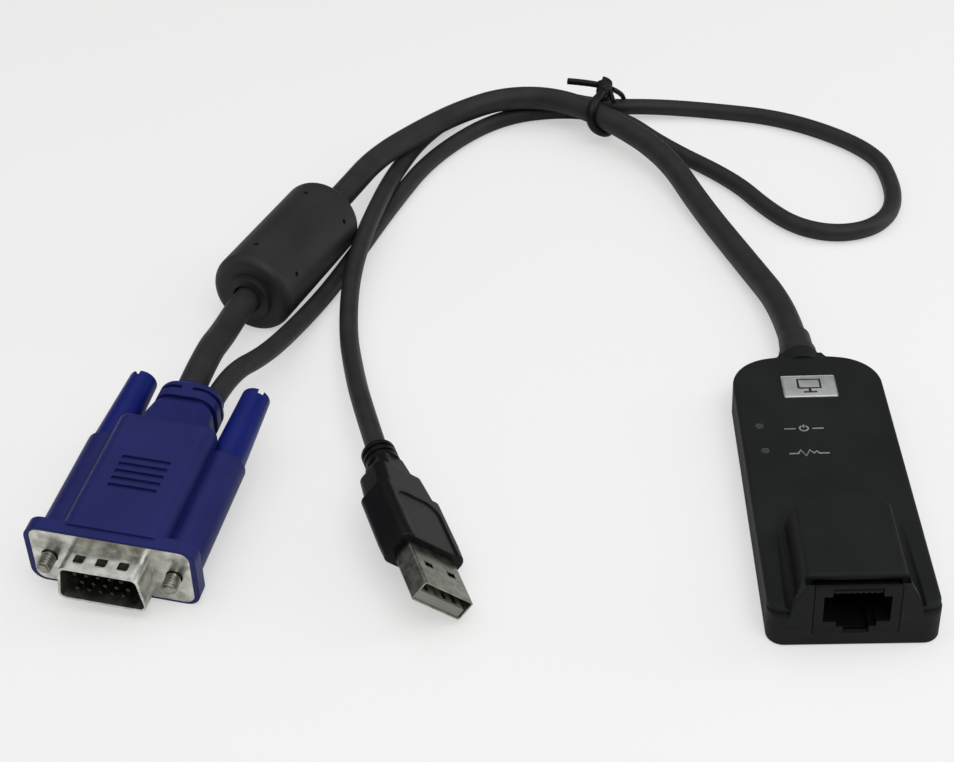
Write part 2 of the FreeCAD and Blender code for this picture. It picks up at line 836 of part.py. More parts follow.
sleeves = [
    cyl_y(video_exit_x, 0, video_cable_diameter / 2 + exit_sleeve_wall,
          collar_end - 2, video_exit_y),
    cyl_y(usb_exit_x, 0, usb_cable_diameter / 2 + exit_sleeve_wall / 2,
          collar_end - 2, collar_end),
]
grips = []
for i in range(grip_count):
    y = grip_first + i * grip_pitch - grip_width / 2
    for face in (-1, 1):
        z0 = face * (hood_body_half_height - grip_depth)
        z1 = face * far
        grips.append(box(-grip_half_length, grip_half_length, y, y + grip_width,
                         min(z0, z1), max(z0, z1)))
block_x, block_z, block_y = insulator_block
mould_x, mould_z, mould_y = mould_block
insulator_room = box(-block_x / 2, block_x / 2, -1, block_y, -block_z / 2, block_z / 2)
mould_room = box(-mould_x / 2, mould_x / 2, block_y, mould_y, -mould_z / 2, mould_z / 2)
plate_room = rounded_y(vga_plate_half_width, vga_plate_half_height, vga_plate_corner,
                       -1, vga_plate_thickness)
hood_shape = fuse([flange, body, neck, throat, rear_collar] + ears + sleeves)
hood_shape = hood_shape.cut(Part.makeCompound(bores + grips))
hood_shape = hood_shape.cut(fuse([insulator_room, mould_room, plate_room]))
keep("vga_hood", hood_shape, vga_at)
keep("vga_inner_mould", mould_room, vga_at)


def d_wire(inset, y):
    """D-shaped outline, narrow side up, set in by a wall."""
    t = shroud_half_top - inset
    b = shroud_half_bottom - inset
    h = shroud_half_height - inset
    return Part.makePolygon([V(-b, y, -h), V(b, y, -h), V(t, y, h), V(-t, y, h), V(-b, y, -h)])


def d_prism(inset, corner, y0, y1):
    solid = Part.Face(d_wire(inset, y0)).extrude(V(0, y1 - y0, 0))
    sides = [e for e in solid.Edges
             if abs(e.Vertexes[0].Point.y - e.Vertexes[-1].Point.y) > 0.1]
    return solid.makeFillet(corner, sides)


plate = rounded_y(vga_plate_half_width, vga_plate_half_height, vga_plate_corner,
                  0, vga_plate_thickness)
shroud = d_prism(0, shroud_corner, -shroud_length, vga_plate_thickness)
shell = fuse([plate, shroud])
shell = shell.cut(d_prism(shroud_wall, shroud_corner - shroud_wall, -far, far))
shell = shell.cut(Part.makeCompound([
    cyl_y(side * jackscrew_x, 0, thread_radius + knob_clearance, -1, 2) for side in (-1, 1)
]))
shell = shell.cut(Part.makeCompound([
    Part.makeSphere(1.0, V(x, -shroud_length * 0.55, shroud_half_height + 0.75))
    for x in (-4.4, 0.0, 4.4)
]))
keep("vga_shell", shell, vga_at)

pins = []
for row in (-1, 0, 1):
    shift = pin_pitch / 4 if row == 0 else -pin_pitch / 4
    for column in range(-2, 3):
        x = column * pin_pitch + shift
        pins.append(cyl_y(x, row * pin_row_pitch, pin_radius_vga, -pin_front, block_y))
insulator = fuse([
    d_prism(shroud_wall, shroud_corner - shroud_wall, -insulator_face, vga_plate_thickness),
    box(-block_x / 2, block_x / 2, vga_plate_thickness, block_y, -block_z / 2, block_z / 2),
])
keep("vga_insulator", insulator.cut(Part.makeCompound(pins)), vga_at)
keep("vga_pins", Part.makeCompound(pins), vga_at)

for name, side, turn in (("left", -1, knob_slot_turns[0]), ("right", 1, knob_slot_turns[1])):
    x = side * jackscrew_x
    inner_end = ear_length - ear_lip - knob_clearance
    knob = fuse([
        cyl_y(x, 0, knob_inner_radius, ear_floor + knob_clearance, inner_end),
        cyl_y(x, 0, knob_neck_radius, ear_floor + 1, ear_length + 1),
        cone_y(x, 0, knob_root_radius, knob_tip_radius, ear_length + knob_clearance,
               knob_end),
    ])
    knob = knob.makeFillet(0.4, edges_where(knob, lambda q: near(q.y, knob_end)))
    slot = box(-far, far, knob_end - knob_slot_depth, far,
               -knob_slot_width / 2, knob_slot_width / 2)
    slot.rotate(V(0, 0, 0), V(0, 1, 0), -turn)
    slot.translate(V(x, 0, 0))
    knob = knob.cut(slot)
    knob = knob.cut(cyl_y(x, 0, rod_radius, 0, mid))
    thread = cyl_y(x, 0, thread_radius, -rod_tip, -thread_start)
    thread = thread.makeChamfer(0.4, edges_where(thread, lambda q: near(q.y, -rod_tip)))
    rod = fuse([thread, cyl_y(x, 0, rod_radius, -rod_tip / 2, mid)])
    keep(name + "_thumbscrew_knob", knob, vga_at)
    keep(name + "_thumbscrew_rod", rod, vga_at)

# ------------------------------------------------------------------ USB plug
grip = loft([
    rect_wire_y(grip_front_half, grip_half_height, grip_corner, usb_shell_exposed),
    rect_wire_y(grip_mid_half, grip_half_height, grip_corner, grip_mid_y),
    rect_wire_y(grip_step_half, grip_half_height, grip_corner, grip_step_y),
])
grip = grip.makeFillet(grip_front_round, edges_where(
    grip, lambda q: near(q.y, usb_shell_exposed)))
shoulder = loft([
    rect_wire_y(shoulder_front_half, shoulder_half_height, grip_corner, grip_step_y - 1),
    rect_wire_y(shoulder_rear_half, shoulder_half_height, grip_corner, shoulder_end),
])
panel = polygon_prism([
    (-panel_half_width, panel_front, 0), (panel_half_width, panel_front, 0),
    (panel_half_width, panel_rear, 0), (-panel_half_width, panel_rear, 0),
], (0, 0, 1))
panel = panel.makeFillet(panel_corner, [
    e for e in panel.Edges
    if near(e.Vertexes[0].Point.y, panel_rear) and near(e.Vertexes[-1].Point.y, panel_rear)
    and abs(e.Vertexes[0].Point.z - e.Vertexes[-1].Point.z) > 0.5
])
panel.translate(V(0, 0, grip_half_height - panel_depth))
usb_neck = loft([
    rect_wire_y(usb_neck_half, usb_neck_half_height, 1.5, shoulder_end - 1),
    rect_wire_y(usb_collar_radius - 0.3, usb_collar_radius - 0.4, 1.5, usb_neck_end),
])
usb_collar = cyl_y(0, 0, usb_collar_radius, usb_neck_end, usb_collar_end)
usb_collar = usb_collar.makeFillet(0.5, edges_where(
    usb_collar, lambda q: near(q.y, usb_collar_end)))
collar_rings = []
for i in (1, 2):
    y = usb_neck_end + i * (usb_collar_end - usb_neck_end) / 3 - usb_collar_groove / 2
    collar_rings.append(cyl_y(0, 0, far, y, y + usb_collar_groove).cut(
        cyl_y(0, 0, usb_collar_radius - 0.6, y - 1, y + 2)))
um_x, um_z, um_y = usb_mould_size
half_shell_x = usb_shell_width / 2
half_shell_z = usb_shell_height / 2
shell_room = rounded_y(half_shell_x, half_shell_z, 0.5, 0, usb_shell_length)
usb_mould = box(-um_x / 2, um_x / 2, usb_shell_length, usb_shell_length + um_y,
                -um_z / 2, um_z / 2)
overmould = fuse([grip, shoulder, usb_neck, usb_collar])
overmould = overmould.cut(Part.makeCompound([panel] + collar_rings))
overmould = overmould.cut(fuse([shell_room, usb_mould]))
keep("usb_overmould", overmould, usb_at)
keep("usb_inner_mould", usb_mould, usb_at)

inner = rounded_y(half_shell_x - usb_shell_wall, half_shell_z - usb_shell_wall, 0.25,
                  -1, usb_shell_length + 1)
hole_x, hole_y = usb_hole_size
windows = [
    box(side * usb_hole_x - hole_x / 2, side * usb_hole_x + hole_x / 2,
        usb_hole_y - hole_y / 2, usb_hole_y + hole_y / 2, -far, far) for side in (-1, 1)
]
windows_above = [w.common(box(-far, far, -far, far, 0, far)) for w in windows]
usb_shell = shell_room.cut(inner).cut(Part.makeCompound(windows_above))
keep("usb_shell", usb_shell, usb_at)

tongue_half = half_shell_x - usb_shell_wall - 0.15
tongue_bottom = usb_shell_wall - half_shell_z
usb_contacts = [
    box(x - usb_contact_width / 2, x + usb_contact_width / 2, tongue_front + 0.8,
        usb_contact_end, tongue_top - usb_contact_thickness, tongue_top)
    for x in usb_contact_x
]
tongue = box(-tongue_half, tongue_half, tongue_front, usb_shell_length,
             tongue_bottom, tongue_top)
keep("usb_tongue", tongue.cut(Part.makeCompound(usb_contacts)), usb_at)
keep("usb_contacts", Part.makeCompound(usb_contacts), usb_at)

# ------------------------------------------------------------------ export
for name, shape in nodes.items():
    low = shape.BoundBox
    print(name, shape.ShapeType, len(shape.Solids), "valid", shape.isValid(),
          "vol", round(shape.Volume, 1),
          "x", round(low.XMin, 1), round(low.XMax, 1),
          "y", round(low.YMin, 1), round(low.YMax, 1),
          "z", round(low.ZMin, 2), round(low.ZMax, 2))
    shape.exportStep("parts/" + name + ".step")
print("nodes", len(nodes))
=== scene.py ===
import math

import bpy
from mathutils import Euler, Matrix, Quaternion, Vector


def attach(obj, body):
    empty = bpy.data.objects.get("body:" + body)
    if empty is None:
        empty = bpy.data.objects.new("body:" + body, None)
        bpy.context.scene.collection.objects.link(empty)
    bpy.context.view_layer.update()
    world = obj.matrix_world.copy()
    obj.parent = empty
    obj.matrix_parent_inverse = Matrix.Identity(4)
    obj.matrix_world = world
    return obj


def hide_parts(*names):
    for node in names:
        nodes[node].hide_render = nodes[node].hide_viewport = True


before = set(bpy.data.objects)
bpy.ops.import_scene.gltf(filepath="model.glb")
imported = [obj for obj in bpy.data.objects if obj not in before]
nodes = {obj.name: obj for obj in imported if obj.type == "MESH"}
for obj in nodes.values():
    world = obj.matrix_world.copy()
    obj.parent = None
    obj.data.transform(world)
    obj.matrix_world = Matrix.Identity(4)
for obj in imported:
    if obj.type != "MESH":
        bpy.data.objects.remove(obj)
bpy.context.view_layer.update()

# ---------------------------------------------------------------- camera
# A long lens from the front, a little to the right of the adapter and
# looking down on it, turned a few degrees about its own axis.
camera_place = Vector((-0.04928, -0.26172, 0.22031))
camera_target = Vector((-0.07086, 0.04337, 0.0))
camera_roll = math.radians(-3.82)
camera = bpy.data.objects.new("camera", bpy.data.cameras.new("camera"))
bpy.context.collection.objects.link(camera)
camera.data.lens = 63.6
camera.data.sensor_width = 36.0
camera.data.clip_start = 0.01
camera.location = camera_place
camera.rotation_mode = "QUATERNION"
camera_aim = (camera_target - camera_place).to_track_quat("-Z", "Y")
camera.rotation_quaternion = camera_aim @ Quaternion((0, 0, 1), camera_roll)
bpy.context.scene.camera = camera
bpy.context.scene.view_settings.view_transform = "Standard"


# ---------------------------------------------------------------- studio
# A plain pale table under a bright dome, with soft boxes above the front and
# at both sides. The table shows its own pale colour and takes the shadow.
def linear(code):
    """sRGB hex to linear RGBA."""
    channels = [int(code[i : i + 2], 16) / 255 for i in (0, 2, 4)]
    flat = [c / 12.92 if c <= 0.04045 else ((c + 0.055) / 1.055) ** 2.4 for c in channels]
    return (*flat, 1.0)


def add_node(tree, kind, settings=(), links=()):
    """Adds a node, sets its attributes and sockets, and links what feeds it."""
    node = tree.nodes.new(kind)
    for key, value in dict(settings).items():
        if isinstance(key, str) and hasattr(node, key):
            setattr(node, key, value)
        else:
            node.inputs[key].default_value = value
    for key, source in dict(links).items():
        tree.links.new(source, node.inputs[key])
    return node


def new_material(name):
    """An empty node material and its tree."""
    material = bpy.data.materials.new(name)
    material.use_nodes = True
    material.node_tree.nodes.clear()
    return material, material.node_tree


def two_tones(tree, factor, colours, ends):
    """A ramp between two colours, flat outside these ends of the factor."""
    ramp = add_node(tree, "ShaderNodeValToRGB", (), {"Fac": factor})
    for element, colour, end in zip(ramp.color_ramp.elements, colours, ends):
        element.position = end
        element.color = linear(colour)
    return ramp


table_colour = linear("F2F2F1")
table_glow = 0.55  # share of its own colour that the camera sees
bpy.ops.object.select_all(action="DESELECT")
bpy.ops.mesh.primitive_plane_add(size=6, location=(0, 0, 0))
table = bpy.context.object
table.name = "table_top"
paper, tree = new_material("matt_paper")
diffuse = add_node(tree, "ShaderNodeBsdfDiffuse", {"Color": table_colour})
glow = add_node(tree, "ShaderNodeEmission", {"Color": table_colour, "Strength": 1.0})
path = add_node(tree, "ShaderNodeLightPath")
seen = add_node(tree, "ShaderNodeMath", {"operation": "MULTIPLY", 1: table_glow},
                {0: path.outputs["Is Camera Ray"]})
mix = add_node(tree, "ShaderNodeMixShader", (),
               {0: seen.outputs[0], 1: diffuse.outputs[0], 2: glow.outputs[0]})
add_node(tree, "ShaderNodeOutputMaterial", (), {"Surface": mix.outputs[0]})
table.data.materials.append(paper)

world = bpy.data.worlds.new("studio")
bpy.context.scene.world = world
world.use_nodes = True
tree = world.node_tree
tree.nodes.clear()
direction = add_node(tree, "ShaderNodeTexCoord")
height = add_node(tree, "ShaderNodeSeparateXYZ", (), {0: direction.outputs["Generated"]})
dome = add_node(tree, "ShaderNodeMapRange",
                {"interpolation_type": "SMOOTHSTEP", "From Min": 0.55, "From Max": 0.95,
                 "To Min": 0.14, "To Max": 1.30},
                {"Value": height.outputs["Z"]})
sky = add_node(tree, "ShaderNodeBackground", {"Color": linear("F6F7F8")},
               {"Strength": dome.outputs["Result"]})
add_node(tree, "ShaderNodeOutputWorld", (), {"Surface": sky.outputs[0]})

lamp_aim = Vector((-0.06, 0.05, 0))
soft_boxes = (
    ("key_box", (0.15, -0.45, 0.70), (0.6, 0.5), 3.0),
    ("right_box", (0.70, 0.15, 0.25), (0.3, 0.8), 2.2),
    ("left_box", (-0.80, 0.0, 0.30), (0.3, 0.8), 0.7),
)
for name, place, size, power in soft_boxes:
    light = bpy.data.lights.new(name, "AREA")
    light.shape = "RECTANGLE"
    light.size, light.size_y = size
    light.energy = power
    lamp = bpy.data.objects.new(name, light)
    lamp.location = place
    lamp.rotation_euler = (lamp_aim - Vector(place)).to_track_quat("-Z", "Y").to_euler()
    bpy.context.collection.objects.link(lamp)

# ---------------------------------------------------------------- cables
# Two round PVC leads: the thick one runs from the housing's boot through
# the ferrite to the video plug, the thin one from the video plug back round
# the tie and its loop to the USB plug. Both lie on the table.
mm = 0.001
video_cable_diameter = 6.2
usb_cable_diameter = 4.4
video_cable_points = (
    (-0.3, 49.9, 4.6), (-0.9, 62.9, 4.4), (-6.4, 82.4, 3.2), (-15.9, 111.5, 3.2),
    (-23.6, 135.4, 6.0), (-38.2, 152.7, 8.2), (-51.6, 165.2, 8.4), (-66.1, 167.6, 8.1),
    (-78.4, 163.2, 6.6), (-88.0, 148.7, 8.8), (-99.6, 132.3, 9.6), (-105.6, 114.8, 10.0),
    (-117.2, 83.8, 10.0), (-125.6, 61.4, 10.0), (-127.4, 48.5, 11.2),
    (-128.6, 36.5, 14.3), (-130.4, 23.2, 13.4),
)
usb_cable_points = (
    (-125.1, 20.2, 12.7), (-123.0, 30.2, 13.2), (-117.2, 41.2, 10.0), (-112.8, 61.9, 4.2),
    (-107.5, 79.4, 2.2), (-102.0, 97.4, 2.2), (-95.4, 119.4, 2.2), (-86.3, 145.4, 2.2),
    (-69.0, 167.0, 2.2), (-50.0, 169.0, 3.2), (-34.4, 162.5, 3.5), (-23.4, 145.9, 2.6),
    (-6.4, 126.9, 2.2), (0.8, 111.3, 2.2), (7.2, 102.3, 2.2), (15.8, 98.3, 2.2),
    (24.8, 100.2, 2.2), (31.2, 107.7, 2.2), (33.8, 119.9, 2.2), (32.3, 139.9, 2.2),
    (12.0, 160.1, 2.2), (-11.0, 167.4, 2.2), (-26.0, 168.3, 3.4), (-39.5, 168.5, 3.6),
    (-53.0, 176.9, 3.0), (-67.0, 179.4, 2.2), (-80.0, 171.4, 2.2), (-90.2, 155.0, 2.2),
    (-95.4, 130.0, 5.2), (-97.9, 112.0, 7.1), (-100.6, 94.0, 7.1), (-102.0, 77.0, 5.6),
    (-101.0, 58.4, 3.4), (-98.0, 42.0, 5.0), (-94.6, 25.6, 8.3), (-89.6, 8.1, 8.2),
)


def cable_curve(name, points, diameter):
    """A round lead whose line is a smooth spline with these control points, in mm."""
    curve = bpy.data.curves.new(name, "CURVE")
    curve.dimensions = "3D"
    spline = curve.splines.new("NURBS")
    spline.points.add(len(points) - 1)
    for point, place in zip(spline.points, points):
        point.co = (*(c * mm for c in place), 1)
    spline.order_u = 3
    spline.use_endpoint_u = True
    spline.resolution_u = 12
    curve.bevel_depth = diameter * mm / 2
    curve.bevel_resolution = 7
    curve.use_fill_caps = True
    cable = bpy.data.objects.new(name, curve)
    bpy.context.collection.objects.link(cable)
    return cable


def pvc_jacket(name, colours, ripple_mm):
    """Extruded soft PVC: a dull waxy gloss, faintly rippled by the strands below it."""
    jacket, tree = new_material(name)
    place = add_node(tree, "ShaderNodeTexCoord")
    mottle = add_node(tree, "ShaderNodeTexNoise", {"Scale": 180.0, "Detail": 3.0},
                      {"Vector": place.outputs["Object"]})
    tone = two_tones(tree, mottle.outputs["Fac"], colours, (0.3, 0.7))
    ripple = add_node(tree, "ShaderNodeTexNoise", {"Scale": 1000 / ripple_mm, "Detail": 2.0},
                      {"Vector": place.outputs["Object"]})
    bump = add_node(tree, "ShaderNodeBump", {"Strength": 0.35, "Distance": 0.00008},
                    {"Height": ripple.outputs["Fac"]})
    shader = add_node(tree, "ShaderNodeBsdfPrincipled",
                      {"Roughness": 0.52, "IOR": 1.52, "Specular IOR Level": 0.2},
                      {"Base Color": tone.outputs["Color"], "Normal": bump.outputs["Normal"]})
    add_node(tree, "ShaderNodeOutputMaterial", (), {"Surface": shader.outputs[0]})
    return jacket


cable_pvc = pvc_jacket("dark_grey_pvc", ("222223", "2A2A2B"), 0.8)
video_cable = cable_curve("thick_video_cable", video_cable_points, video_cable_diameter)
video_cable.data.materials.append(cable_pvc)
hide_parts("video_cable")
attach(video_cable, "housing")
usb_cable = cable_curve("thin_usb_cable", usb_cable_points, usb_cable_diameter)
usb_cable.data.materials.append(cable_pvc)
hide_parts("usb_cable")
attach(usb_cable, "housing")

# ---------------------------------------------------------------- housing
# Two black ABS shells that close round the board, spark-finished in the mould:
# a fine satin grain, slightly greyer in patches, with softened edges.
def moulded_plastic(name, colours, roughness, grain_mm, depth_mm, edge_mm, specular=0.2):
    """Two cloudy tones, a fine grain this deep, and edges softened by this radius."""
    plastic, tree = new_material(name)
    place = add_node(tree, "ShaderNodeTexCoord")
    cloud = add_node(tree, "ShaderNodeTexNoise", {"Scale": 90.0, "Detail": 4.0},
                     {"Vector": place.outputs["Object"]})
    tone = two_tones(tree, cloud.outputs["Fac"], colours, (0.3, 0.7))
    gloss = add_node(tree, "ShaderNodeMapRange",
                     {"To Min": roughness - 0.05, "To Max": roughness + 0.05},
                     {"Value": cloud.outputs["Fac"]})
    grain = add_node(tree, "ShaderNodeTexNoise", {"Scale": 1000 / grain_mm, "Detail": 2.0},
                     {"Vector": place.outputs["Object"]})
    edge = add_node(tree, "ShaderNodeBevel", {"samples": 4, "Radius": edge_mm * mm})
    bump = add_node(tree, "ShaderNodeBump", {"Strength": 0.4, "Distance": depth_mm * mm},
                    {"Height": grain.outputs["Fac"], "Normal": edge.outputs["Normal"]})
    shader = add_node(tree, "ShaderNodeBsdfPrincipled",
                      {"IOR": 1.53, "Specular IOR Level": specular},
                      {"Base Color": tone.outputs["Color"],
                       "Roughness": gloss.outputs["Result"],
                       "Normal": bump.outputs["Normal"]})
    add_node(tree, "ShaderNodeOutputMaterial", (), {"Surface": shader.outputs[0]})
    return plastic


def dress(node, material):
    """Gives a CAD node this material alone."""
    mesh = nodes[node].data
    mesh.materials.clear()
    mesh.materials.append(material)


black_abs = moulded_plastic("satin_black_abs", ("1A1B1B", "202121"), 0.6, 0.35, 0.03, 0.45, 0.08)
dress("top_cover", black_abs)
dress("bottom_cover", black_abs)


# ---------------------------------------------------------------- badge plate
# A small plate of satin aluminium let in near the cable end, with a plain
# outline of a monitor printed on it in dark ink.
def finish_mesh(piece, material, body):
    """Bakes the place into the mesh, smooths it and puts it on its body."""
    bpy.ops.object.select_all(action="DESELECT")
    piece.select_set(True)
    bpy.context.view_layer.objects.active = piece
    bpy.ops.object.transform_apply(location=True, rotation=True, scale=True)
    bpy.ops.object.shade_smooth_by_angle(angle=math.radians(35))
    if material:
        piece.data.materials.clear()
        piece.data.materials.append(material)
    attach(piece, body)


def round_uprights(piece, radius, segments):
    """Rounds the upright edges of a block and leaves nothing selected."""
    bpy.ops.object.mode_set(mode="EDIT")
    bpy.ops.mesh.select_all(action="DESELECT")
    bpy.ops.object.mode_set(mode="OBJECT")
    for line in piece.data.edges:
        a, b = (piece.data.vertices[v].co for v in line.vertices)
        line.select = abs(a.z - b.z) > 0.1 * mm
    bpy.ops.object.mode_set(mode="EDIT")
    bpy.ops.mesh.select_mode(type="EDGE")
    bpy.ops.mesh.bevel(offset=radius * mm, segments=segments)
    bpy.ops.mesh.select_all(action="DESELECT")
    bpy.ops.object.mode_set(mode="OBJECT")


def step_top(piece, insets, rise):
    """Insets the top face by each amount in turn, then lifts what is left."""
    for face in piece.data.polygons:
        face.select = face.normal.z > 0.9
    bpy.ops.object.mode_set(mode="EDIT")
    bpy.ops.mesh.select_mode(type="FACE")
    for inset in insets:
        bpy.ops.mesh.inset(thickness=inset * mm)
    bpy.ops.transform.translate(value=(0, 0, rise * mm))
    bpy.ops.object.mode_set(mode="OBJECT")


def satin_metal(name, colours, roughness, cloud_mm, scratch_mm, edge_mm):
    """A dull metal of two cloudy tones with fine scratches and softened edges."""
    metal, tree = new_material(name)
    place = add_node(tree, "ShaderNodeTexCoord")
    cloud = add_node(tree, "ShaderNodeTexNoise", {"Scale": 1000 / cloud_mm, "Detail": 5.0},
                     {"Vector": place.outputs["Object"]})
    tone = two_tones(tree, cloud.outputs["Fac"], colours, (0.35, 0.65))
    gloss = add_node(tree, "ShaderNodeMapRange",
                     {"To Min": roughness - 0.1, "To Max": roughness + 0.1},
                     {"Value": cloud.outputs["Fac"]})
    scratch = add_node(tree, "ShaderNodeTexNoise", {"Scale": 1000 / scratch_mm, "Detail": 3.0},
                       {"Vector": place.outputs["Object"]})
    edge = add_node(tree, "ShaderNodeBevel", {"samples": 4, "Radius": edge_mm * mm})
    bump = add_node(tree, "ShaderNodeBump", {"Strength": 0.25, "Distance": 0.00003},
                    {"Height": scratch.outputs["Fac"], "Normal": edge.outputs["Normal"]})
    shader = add_node(tree, "ShaderNodeBsdfPrincipled", {"Metallic": 1.0},
                      {"Base Color": tone.outputs["Color"],
                       "Roughness": gloss.outputs["Result"],
                       "Normal": bump.outputs["Normal"]})
    add_node(tree, "ShaderNodeOutputMaterial", (), {"Surface": shader.outputs[0]})
    return metal


cover_top = 8.4
front_edge = -41.1
plate_centre = (0.1, front_edge + 67.55)
plate_size = (11.2, 7.5)
plate_height = 0.3
plate_crown = 0.08
bpy.ops.object.select_all(action="DESELECT")
bpy.ops.mesh.primitive_cube_add(
    size=1,
    location=(plate_centre[0] * mm, plate_centre[1] * mm, (cover_top + plate_height / 2) * mm),
    scale=(plate_size[0] * mm, plate_size[1] * mm, plate_height * mm),
)
plate = bpy.context.object
plate.name = "badge_plate"
bpy.ops.object.transform_apply(location=True, rotation=True, scale=True)
round_uprights(plate, 0.35, 4)
step_top(plate, (0.12,), plate_crown)
badge_metal = satin_metal("satin_aluminium", ("B6B7B6", "C3C4C3"), 0.6, 3.0, 0.3, 0.05)
finish_mesh(plate, badge_metal, "housing")


# ---------------------------------------------------------------- printed marks
# Pad-printed ink lines: the monitor on the plate, and beside the lights a
# power mark and an activity trace. Each stands a few hundredths proud.
def printed_lines(name, strokes, width, centre, surface):
    """Ink lines through these points, in mm from the mark's centre."""
    curve = bpy.data.curves.new(name, "CURVE")
    curve.dimensions = "3D"
    for points in strokes:
        spline = curve.splines.new("POLY")
        spline.points.add(len(points) - 1)
        for point, (x, y) in zip(spline.points, points):
            point.co = (x * mm, y * mm, 0, 1)
    curve.bevel_depth = width * mm / 2
    curve.bevel_resolution = 2
    curve.use_fill_caps = True
    mark = bpy.data.objects.new(name, curve)
    bpy.context.collection.objects.link(mark)
    mark.location = (centre[0] * mm, centre[1] * mm, surface * mm)
    mark.scale = (1, 1, 0.3)
    bpy.ops.object.select_all(action="DESELECT")
    mark.select_set(True)
    bpy.context.view_layer.objects.active = mark
    bpy.ops.object.convert(target="MESH")
    return bpy.context.object


def arc_points(radius, start, end, count):
    angles = [math.radians(start + (end - start) * i / count) for i in range(count + 1)]
    return [(radius * math.cos(a), radius * math.sin(a)) for a in angles]


dark_ink = moulded_plastic("dark_pad_ink", ("161616", "1E1E1E"), 0.45, 0.2, 0.01, 0.05)
pale_ink = moulded_plastic("pale_pad_ink", ("6E6F6F", "8C8D8D"), 0.55, 0.2, 0.01, 0.05)
monitor_stroke = 0.55
power_stroke = 0.36
trace_stroke = 0.46
screen = [(-2.3, -0.7), (2.3, -0.7), (2.3, 2.3), (-2.3, 2.3), (-2.3, -0.7)]
stand = [[(0, -0.7), (0, -1.9)], [(-1.4, -2.1), (1.4, -2.1)]]
finish_mesh(
    printed_lines("monitor_mark", [screen] + stand, monitor_stroke, plate_centre,
                  cover_top + plate_height + plate_crown),
    dark_ink, "housing",
)
power_ring = arc_points(0.85, 60, -240, 20)
power_strokes = [power_ring, [(0, 0.2), (0, 1.15)], [(-4.0, -0.1), (-1.7, -0.1)],
                 [(1.7, -0.1), (4.0, -0.1)]]
finish_mesh(
    printed_lines("power_mark", power_strokes, power_stroke,
                  (-2.75, front_edge + 53.55), cover_top),
    pale_ink, "housing",
)
trace = [(-4.0, -0.2), (-2.2, -0.2), (-1.6, 0.9), (-0.7, -1.0), (0.2, 0.9), (0.9, -0.2),
         (1.5, 0.5), (2.0, -0.2), (4.0, -0.2)]
finish_mesh(
    printed_lines("activity_mark", [trace], trace_stroke,
                  (-2.65, front_edge + 45.55), cover_top),
    pale_ink, "housing",
)


# ---------------------------------------------------------------- light pipes
# Two clear acrylic pins that carry the light of the chips below to the top
# face: a smoky, slightly cloudy grey when they are off.
acrylic, tree = new_material("clear_acrylic")
place = add_node(tree, "ShaderNodeTexCoord")
haze = add_node(tree, "ShaderNodeTexNoise", {"Scale": 900.0, "Detail": 2.0},
                {"Vector": place.outputs["Object"]})
tone = two_tones(tree, haze.outputs["Fac"], ("161717", "565858"), (0.0, 1.0))
shader = add_node(tree, "ShaderNodeBsdfPrincipled",
                  {"Roughness": 0.15, "IOR": 1.49, "Transmission Weight": 0.25},
                  {"Base Color": tone.outputs["Color"]})
add_node(tree, "ShaderNodeOutputMaterial", (), {"Surface": shader.outputs[0]})
dress("power_light_pipe", acrylic)
dress("active_light_pipe", acrylic)

# ---------------------------------------------------------------- board
# A glass-epoxy board with its chips, cans and cable header, shut in the covers.
# The board is painted near black as painted shade, so that no board shows through the socket; the
# rest is black resin, drawn aluminium and natural nylon.
# The board's near-black colour is painted shade for the inside of the socket.
dress("circuit_board",
      moulded_plastic("painted_shade_board", ("060807", "0A0C0B"), 0.45, 0.4, 0.01, 0.1, 0.15))
chip_resin = moulded_plastic("black_chip_resin", ("131313", "1B1B1B"), 0.6, 0.2, 0.01, 0.1)
for node in ("signal_transformer", "processor_chip", "video_chip"):
    dress(node, chip_resin)
dress("board_capacitors",
      satin_metal("drawn_aluminium", ("B5B6B8", "C9CACC"), 0.35, 2.0, 0.2, 0.1))
natural_nylon = moulded_plastic("natural_nylon", ("C9C3B4", "D6D1C4"), 0.5, 0.3, 0.01, 0.1)
dress("cable_header", natural_nylon)
dress("indicator_lights", natural_nylon)
dress("wire_bundle",
      moulded_plastic("grey_wire_insulation", ("6E6E6E", "7E7E7E"), 0.5, 0.5, 0.02, 0.1))

# ---------------------------------------------------------------- socket
# A moulded black PBT network socket with eight gold-plated spring contacts,
# whose gold is painted dark as painted shade of the opening.
dress("network_jack",
      moulded_plastic("jack_black_pbt", ("050505", "090909"), 0.5, 0.3, 0.02, 0.15, 0.15))
# The contacts' gold is painted dark: painted shade inside the socket.
dress("jack_contacts",
      satin_metal("painted_shade_gold_plate", ("2E2614", "43371F"), 0.35, 1.0, 0.2, 0.05))

# ---------------------------------------------------------------- boot
# Soft grey PVC moulded over the cable where it leaves the housing.
dress("cable_boot",
      moulded_plastic("boot_soft_pvc", ("242425", "2C2C2D"), 0.55, 0.5, 0.03, 0.3))

# ---------------------------------------------------------------- ferrite choke
# A fired ferrite tube with a dark PVC cover moulded over it, which keeps the
# small holes of the pins that held the tube in the mould.
dress("ferrite_cover",
      moulded_plastic("ferrite_dark_pvc", ("202021", "282829"), 0.5, 0.35, 0.03, 0.3))
dress("ferrite_core",
      moulded_plastic("fired_ferrite", ("1A1817", "242120"), 0.6, 0.3, 0.03, 0.2))

